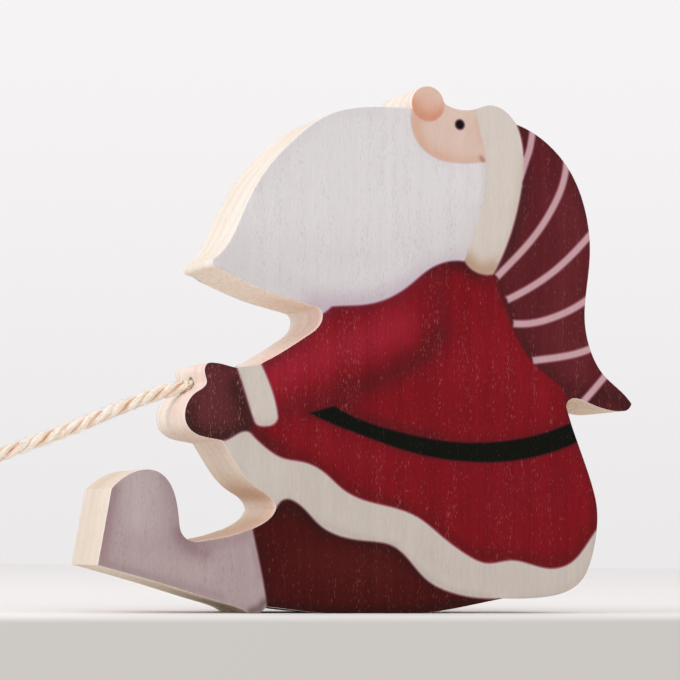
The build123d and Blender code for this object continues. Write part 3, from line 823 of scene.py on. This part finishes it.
def make_print():
    """One piece for each printed colour field, front and back."""
    rings_of = {field: [rounded(ring, ROW_STEP) for ring in front_loops(field)] for field in FIELDS}
    border_tree, owners = prepare_borders(rings_of)
    inks = {name: ink_material(name, *settings) for name, settings in INKS.items()}
    for order, (field, ink) in enumerate(FIELDS.items()):
        def paint(points, field=field):
            return with_soft_borders(field, points, border_tree, owners)
        top = INK_HALF - order * LAYER
        mesh = film_mesh(field, rings_of[field], top, PRIMER_HALF, INK_INSET, GRID, paint)
        mesh.materials.append(inks[ink])
        add_object(field.replace("_print", "_ink_film"), mesh, [field])


# ---------------------------------------------------------------- rope
def run_along(line):
    """The length of a line up to each of its points."""
    return np.concatenate([[0.0], np.cumsum(np.linalg.norm(np.diff(line, axis=0), axis=1))])


def rope_line():
    """Points along the rope's smooth route, evenly spaced, from inside the hole to the knot."""
    start = (HOLE_MOUTH[0] + ROPE_IN_HOLE * cos(HOLE_RISE_ANGLE),
             HOLE_MOUTH[1] + ROPE_IN_HOLE * sin(HOLE_RISE_ANGLE))
    data = bpy.data.curves.new("rope_route", "CURVE")
    data.dimensions = "3D"
    spline = data.splines.new("NURBS")
    route = [start] + ROPE_ROUTE
    spline.points.add(len(route) - 1)
    for point, (x, z) in zip(spline.points, route):
        point.co = (x * MM, 0.0, z * MM, 1.0)
    spline.order_u = 3
    spline.use_endpoint_u = True
    data.resolution_u = 40
    holder = bpy.data.objects.new("rope_route", data)
    traced = bpy.data.meshes.new_from_object(holder)
    points = np.array([tuple(v.co) for v in traced.vertices])
    bpy.data.objects.remove(holder)
    return evenly(points, 0.25 * MM)


def evenly(points, step):
    """The line with its points a step apart."""
    lengths = run_along(points)
    count = max(2, int(round(lengths[-1] / step)) + 1)
    at = np.linspace(0.0, lengths[-1], count)
    return np.stack([np.interp(at, lengths, points[:, k]) for k in range(3)], 1)


def frames_along(line, first_side=(0.0, 1.0, 0.0)):
    """Unit tangents and two unit sideways directions that don't twist about the line."""
    tangents = np.gradient(line, axis=0)
    tangents /= np.linalg.norm(tangents, axis=1)[:, None]
    first = np.array(first_side) - tangents[0] * (tangents[0] @ np.array(first_side))
    first /= np.linalg.norm(first)
    sides = [first]
    for tangent in tangents[1:]:
        side = sides[-1] - tangent * (sides[-1] @ tangent)
        sides.append(side / np.linalg.norm(side))
    sides = np.array(sides)
    return tangents, sides, np.cross(tangents, sides)


STRAND_RADIUS = 0.80 * MM
STRAND_OFFSET = 0.70 * MM
SECTION = 28                 # points round each strand
YARNS = 6                    # ridges round each strand
HAIRS_ON_ROPE, HAIRS_ON_KNOT = 420, 90
PALE_LOOPS, TAN_LOOPS = 46, 16
PALE_YARN, TAN_YARN = 0.11 * MM, 0.09 * MM
# below 1, hairs and loops take the rope's painted crevice shade; the tan loops mostly do
TAN = 0.15                   # how pale the tan loops are, where 1 is the rope's palest


def strands(line, start_length=0.0, first_side=(0.0, 1.0, 0.0)):
    """Three strands laid round a line, each with the ridges of its own yarns."""
    _, sides, ups = frames_along(line, first_side)
    run = start_length + run_along(line)
    verts, faces, outer, lay = [], [], [], []
    for k in range(STRANDS):
        turn = 2 * pi * (k / STRANDS - run / ROPE_PITCH)
        wander = 1.0 + 0.09 * np.sin(run / MM * 0.9 + k * 2.1) + 0.05 * np.sin(run / MM * 2.3 + k)
        turn = turn + 0.22 * np.sin(run / MM * 0.41 + 1.7 * k)
        radial = np.cos(turn)[:, None] * sides + np.sin(turn)[:, None] * ups
        centre = line + radial * (STRAND_OFFSET * wander)[:, None]
        _, across, over = frames_along(centre, first_side)
        swell = STRAND_RADIUS * (1.0 + 0.07 * np.sin(run / MM * 1.4 + k * 1.3))
        base = len(verts)
        for i in range(len(line)):
            for j in range(SECTION):
                angle = 2 * pi * j / SECTION
                yarn = YARNS * angle + run[i] / MM * 1.9 + 0.6 * sin(run[i] / MM * 1.1 + k)
                ridge = 1.0 + 0.07 * cos(yarn)
                radius = swell[i] * ridge
                spot = centre[i] + (cos(angle) * across[i] + sin(angle) * over[i]) * radius
                verts.append(spot)
                # how far out each point lies; where it is low, the rope's material paints shade into the
                # crevices
                reach = np.linalg.norm(spot - line[i]) / (0.5 * ROPE_DIAMETER)
                outer.append(float(smooth_step((reach - 0.52) / 0.42)))
                lay.append((j / SECTION - run[i] / MM * 0.05, run[i] / (10 * MM)))
        for i in range(len(line) - 1):
            for j in range(SECTION):
                a, b = base + i * SECTION + j, base + i * SECTION + (j + 1) % SECTION
                faces.append((a, b, b + SECTION, a + SECTION))
        faces.append(tuple(base + j for j in range(SECTION))[::-1])
        faces.append(tuple(base + (len(line) - 1) * SECTION + j for j in range(SECTION)))
    return verts, faces, outer, lay


def fibre(line, radius, sides_count=3, taper=0.7):
    """A hair or a yarn: a thin tube along a short line."""
    _, sides, ups = frames_along(line)
    verts, faces = [], []
    for i, spot in enumerate(line):
        thin = radius * (1.0 - taper * (i / (len(line) - 1)) ** 2)
        for j in range(sides_count):
            angle = 2 * pi * j / sides_count
            verts.append(spot + (cos(angle) * sides[i] + sin(angle) * ups[i]) * thin)
    for i in range(len(line) - 1):
        for j in range(sides_count):
            a, b = sides_count * i + j, sides_count * i + (j + 1) % sides_count
            faces.append((a, b, b + sides_count, a + sides_count))
    last = sides_count * (len(line) - 1)
    faces.append(tuple(reversed(range(sides_count))))
    faces.append(tuple(range(last, last + sides_count)))
    return verts, faces


def stray_fibres(line, count):
    """Short hairs that leave the rope's surface and curl back along it."""
    tangents, sides, ups = frames_along(line)
    hairs = []
    for _ in range(count):
        i = int(random.integers(4, len(line) - 24))
        angle = random.uniform(0, 2 * pi)
        radial = cos(angle) * sides[i] + sin(angle) * ups[i]
        swirl = -sin(angle) * sides[i] + cos(angle) * ups[i]
        length = random.uniform(1.0, 3.0) * MM
        lift = random.uniform(0.12, 0.5) * MM
        t = np.linspace(0.0, 1.0, 8)[:, None]
        start = line[i] + radial * 1.36 * MM
        lean = random.uniform(0.2, 0.7)
        hair = start + tangents[i] * length * t * (1 - 0.3 * t) - swirl * length * lean * t
        hair = hair + radial * lift * np.sin(t * pi * random.uniform(0.5, 1.0))
        hairs.append(fibre(hair, random.uniform(0.022, 0.04) * MM))
    return hairs


def mouth_loops(line, count, thickness):
    """Loose loops of yarn pushed back out of the hole, lying round the rope at its mouth."""
    tangents, sides, ups = frames_along(line)
    i = int(np.searchsorted(run_along(line), ROPE_IN_HOLE * MM))
    loops = []
    for _ in range(count):
        angle = random.uniform(0, 2 * pi)
        radial = cos(angle) * sides[i] + sin(angle) * ups[i]
        swirl = -sin(angle) * sides[i] + cos(angle) * ups[i]
        t = np.linspace(0.0, 1.0, 9)[:, None]
        rise = random.uniform(0.35, 1.10) * MM
        width = random.uniform(0.5, 1.3) * MM
        start = line[i] + radial * random.uniform(1.05, 1.50) * MM
        start = start + tangents[i] * random.uniform(-0.1, 0.4) * MM
        loop = start + tangents[i] * rise * np.sin(t * pi) + swirl * width * (t - 0.5)
        loop = loop + radial * random.uniform(0.10, 0.40) * MM * np.sin(t * pi)
        loops.append(fibre(loop, random.uniform(0.7, 1.2) * thickness, 5, 0.3))
    return loops


def rope_mesh(name, verts, faces, outer, lay):
    """A mesh that carries how far out each point lies and its place along the yarns."""
    mesh = bpy.data.meshes.new(name)
    mesh.from_pydata([tuple(v) for v in verts], [], faces)
    mesh.update()
    depth = mesh.attributes.new("outer", "FLOAT", "POINT")
    depth.data.foreach_set("value", outer)
    layer = mesh.uv_layers.new(name="lay")
    corners = np.empty(len(mesh.loops), np.int32)
    mesh.loops.foreach_get("vertex_index", corners)
    layer.data.foreach_set("uv", np.array(lay, np.float32)[corners].ravel())
    for polygon in mesh.polygons:
        polygon.use_smooth = True
    return mesh


def with_hairs(parts, hairs, paleness=1.0):
    """Adds separate hairs to a strand mesh's lists."""
    verts, faces, outer, lay = parts
    for hair_verts, hair_faces in hairs:
        base = len(verts)
        verts += hair_verts
        faces += [tuple(base + i for i in face) for face in hair_faces]
        outer += [paleness] * len(hair_verts)
        lay += [(0.3, k * 0.01) for k in range(len(hair_verts))]
    return verts, faces, outer, lay


def make_rope(line, material):
    """The laid rope, from the bottom of its hole to the knot."""
    parts = with_hairs(strands(line), stray_fibres(line, HAIRS_ON_ROPE))
    parts = with_hairs(parts, mouth_loops(line, PALE_LOOPS, PALE_YARN))
    parts = with_hairs(parts, mouth_loops(line, TAN_LOOPS, TAN_YARN), TAN)
    mesh = rope_mesh("laid_rope", *parts)
    mesh.materials.append(material)
    return add_object("laid_rope", mesh, ["rope"])


KNOT_ROPE = 2.35       # how thick the rope stays where it is squeezed in the knot, mm
KNOT_POINTS = 90
KNOT_START_LENGTH = 58.0
KNOT_HALF = 4.0
PULL = 0.12


def tightened_knot():
    """The centre line of an overhand knot, pulled tight along X, in millimetres.

    A loose overhand curve is drawn first.  Then its ends are pulled apart in small steps,
    while each point keeps its distance from its neighbours and clear of the other turns.
    """
    t = np.linspace(-2.15, 2.15, KNOT_POINTS)
    line = np.stack([t**3 - 3 * t, t**4 - 4 * t**2, 0.19 * (t**5 - 10 * t)], 1)
    line = evenly(line - line.mean(0), run_along(line)[-1] / (KNOT_POINTS - 1))
    line *= KNOT_START_LENGTH / run_along(line)[-1]
    rest = KNOT_START_LENGTH / (len(line) - 1)
    one, other = np.triu_indices(len(line), int(np.ceil(1.75 * KNOT_ROPE / rest)))
    for _ in range(1300):
        line[0] += (-PULL, -0.05 * line[0, 1], -0.05 * line[0, 2])
        line[-1] += (PULL, -0.05 * line[-1, 1], -0.05 * line[-1, 2])
        line[1:4, 1:] *= 0.98
        line[-4:-1, 1:] *= 0.98
        for _ in range(6):
            line[1:-1] += 0.10 * (0.5 * (line[:-2] + line[2:]) - line[1:-1])
            for start in (0, 1):
                count = (len(line) - start) // 2
                first, second = line[start:start + 2 * count:2], line[start + 1:start + 2 * count:2]
                gap = second - first
                length = np.linalg.norm(gap, axis=1)[:, None]
                shift = gap * (0.5 * (length - rest) / length)
                first += shift
                second -= shift
            gap = line[other] - line[one]
            length = np.linalg.norm(gap, axis=1)
            near = length < KNOT_ROPE
            push = gap[near] * (0.3 * (KNOT_ROPE - length[near]) / length[near])[:, None]
            np.add.at(line, other[near], push)
            np.add.at(line, one[near], -push)
    return line


def knot_line(line):
    """The knot's centre line in place: it goes on from the end of the rope's line."""
    local = evenly(tightened_knot(), 0.25)
    for _ in range(6):
        local[1:-1] = 0.25 * local[:-2] + 0.5 * local[1:-1] + 0.25 * local[2:]
    middle = 0.5 * (local[0, 0] + local[-1, 0])
    inside = np.abs(local[:, 0] - middle) <= KNOT_HALF
    first, last = np.argmax(inside), len(inside) - np.argmax(inside[::-1])
    local = local[first:last] - (middle - KNOT_HALF, 0.0, 0.0)
    way = line[-1] - line[-2]
    way /= np.linalg.norm(way)
    side = np.array([0.0, 1.0, 0.0])
    up = np.cross(way, side)
    return line[-1] + (local[:, :1] * way + local[:, 1:2] * side + local[:, 2:] * up) * MM


def make_knot(line, material):
    """The overhand knot, tied in the same three strands."""
    tied = knot_line(line)
    sides = frames_along(line)[1]
    parts = with_hairs(strands(tied, run_along(line)[-1], sides[-1]), stray_fibres(tied, HAIRS_ON_KNOT))
    mesh = rope_mesh("tied_knot", *parts)
    mesh.materials.append(material)
    return add_object("tied_knot", mesh, ["rope_knot"]), tied


TAIL_LENGTH = 9.0 * MM
TAIL_YARNS = 8
TAIL_YARN_RADIUS = 0.25 * MM
TAIL_SPREAD = 1.75


def make_tail(line, tied, material):
    """The cut end beyond the knot: the strands open into their yarns and loose hairs."""
    way = line[-1] - line[-2]
    way /= np.linalg.norm(way)
    side = np.array([0.0, 1.0, 0.0])
    up = np.cross(way, side)
    parts = ([], [], [], [])
    yarns = []
    for strand in range(STRANDS):
        for yarn in range(TAIL_YARNS):
            turn = 2 * pi * strand / STRANDS
            about = 2 * pi * yarn / TAIL_YARNS + 0.4 * strand
            reach = 0.30 * MM if yarn % 3 == 0 else 0.50 * MM
            length = TAIL_LENGTH * random.uniform(0.80, 1.0)
            lean = random.uniform(-0.25, 0.25, 2)
            t = np.linspace(0.0, 1.0, 26)
            twist = turn - 2 * pi * length * t / ROPE_PITCH * (1.0 - 0.45 * t)
            loose = 1.0 + (TAIL_SPREAD - 1.0) * smooth_step(t * 1.1) + 0.05 * np.sin(9 * t + yarn)
            a = (STRAND_OFFSET * np.cos(twist) + reach * np.cos(about + 1.6 * t)) * loose
            b = (STRAND_OFFSET * np.sin(twist) + reach * np.sin(about + 1.6 * t)) * loose
            a = a + lean[0] * MM * t**2
            b = b + lean[1] * MM * t**2
            path = tied[-1] - way * 0.6 * MM + np.outer(t * length, way) + np.outer(a, side) + np.outer(b, up)
            yarns.append(fibre(path, TAIL_YARN_RADIUS, 8, 0.35))
            for _ in range(4):
                tip = path[-9:] + np.outer(np.linspace(0, 1, 9) ** 2, random.uniform(-0.7, 0.7, 3) * MM)
                yarns.append(fibre(tip, 0.05 * MM, 3, 0.6))
    mesh = rope_mesh("frayed_tail", *with_hairs(parts, yarns))
    mesh.materials.append(material)
    return add_object("frayed_tail", mesh, ["rope_tail"])


# ---------------------------------------------------------------- stage
# the second colour is painted shade for the table's front
TABLE_TOP, TABLE_FRONT_SHADE = (237, 235, 233), (204, 201, 196)
TABLE_EDGE = -0.0125


def table_material():
    """Satin white paint, with painted shade down the table's front."""
    material, tree, shader = new_material("table")
    place = node(tree, "TexCoord").outputs["Object"]
    height = node(tree, "SeparateXYZ", None, {0: place}).outputs[2]
    drift = noise_of(tree, stretched(tree, (9, 9, 9)), 2.0, 0.5)
    # painted shade: greyer down the front edge
    shade = mixed(tree, between(tree, height, -2.2 * MM, 0.0), rgba(TABLE_FRONT_SHADE), rgba(TABLE_TOP))
    soft = mixed(tree, between(tree, drift, 0.3, 0.7, 0.0, 0.03), shade, rgba((180, 174, 166)))
    tree.links.new(soft, shader.inputs["Base Color"])
    shader.inputs["Roughness"].default_value = 0.6
    shader.inputs["Specular IOR Level"].default_value = 0.2
    return material


def make_stage():
    """A pale table whose front edge is just before the figure."""
    table = bpy.data.objects.new("table", bpy.data.meshes.new("table"))
    shape = bmesh.new()
    bmesh.ops.create_cube(shape, size=1.0)
    for vert in shape.verts:
        vert.co.x *= 4.0
        vert.co.y = TABLE_EDGE if vert.co.y < 0 else 2.0
        vert.co.z = -0.06 if vert.co.z < 0 else 0.0
    edge = [e for e in shape.edges if all(v.co.y < 0 and v.co.z > -0.01 for v in e.verts)]
    bmesh.ops.bevel(shape, geom=edge, offset=2.0 * MM, segments=8, affect="EDGES", profile=0.5)
    for face in shape.faces:
        face.smooth = abs(face.normal.z) < 0.99 and abs(face.normal.y) < 0.99
    shape.to_mesh(table.data)
    shape.free()
    table.data.materials.append(table_material())
    bpy.context.scene.collection.objects.link(table)


def make_light():
    """A bright white studio, a little lighter upwards, with a broad key light from the left."""
    world = bpy.data.worlds.new("studio")
    world.use_nodes = True
    tree = world.node_tree
    background = tree.nodes["Background"]
    way = node(tree, "TexCoord").outputs["Generated"]
    rise = node(tree, "SeparateXYZ", None, {0: way}).outputs[2]
    glow = mixed(tree, between(tree, rise, -0.04, 0.22), rgba((235, 233, 234)), rgba((246, 244, 245)))
    tree.links.new(glow, background.inputs["Color"])
    tree.links.new(between(tree, rise, -0.35, -0.12, 1.22, 0.995), background.inputs["Strength"])
    bpy.context.scene.world = world
    lamps = [
        ("key", (-1.05, -0.25, 0.80), 0.8, 5.6),
        ("front", (-0.2, -1.3, 0.25), 0.9, 0.4),
    ]
    for name, place, size, power in lamps:
        data = bpy.data.lights.new(name, "AREA")
        data.shape = "DISK"
        data.size = size
        data.energy = power
        lamp = bpy.data.objects.new(name, data)
        lamp.location = place
        lamp.rotation_euler = (Vector((0, 0, 0.06)) - Vector(place)).to_track_quat("-Z", "Y").to_euler()
        lamp.visible_camera = False
        bpy.context.scene.collection.objects.link(lamp)
    bpy.context.scene.view_settings.view_transform = "Standard"


# ---------------------------------------------------------------- the scene
make_camera()
fibre_stuff = rope_material()
centre_line = rope_line()
rope = make_rope(centre_line, fibre_stuff)
knot, tied_line = make_knot(centre_line, fibre_stuff)
tail = make_tail(centre_line, tied_line, fibre_stuff)
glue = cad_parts["rope_glue"]
glue.data.materials.clear()
glue.data.materials.append(glue_material())
make_board()
make_primer()
make_print()
make_stage()
make_light()
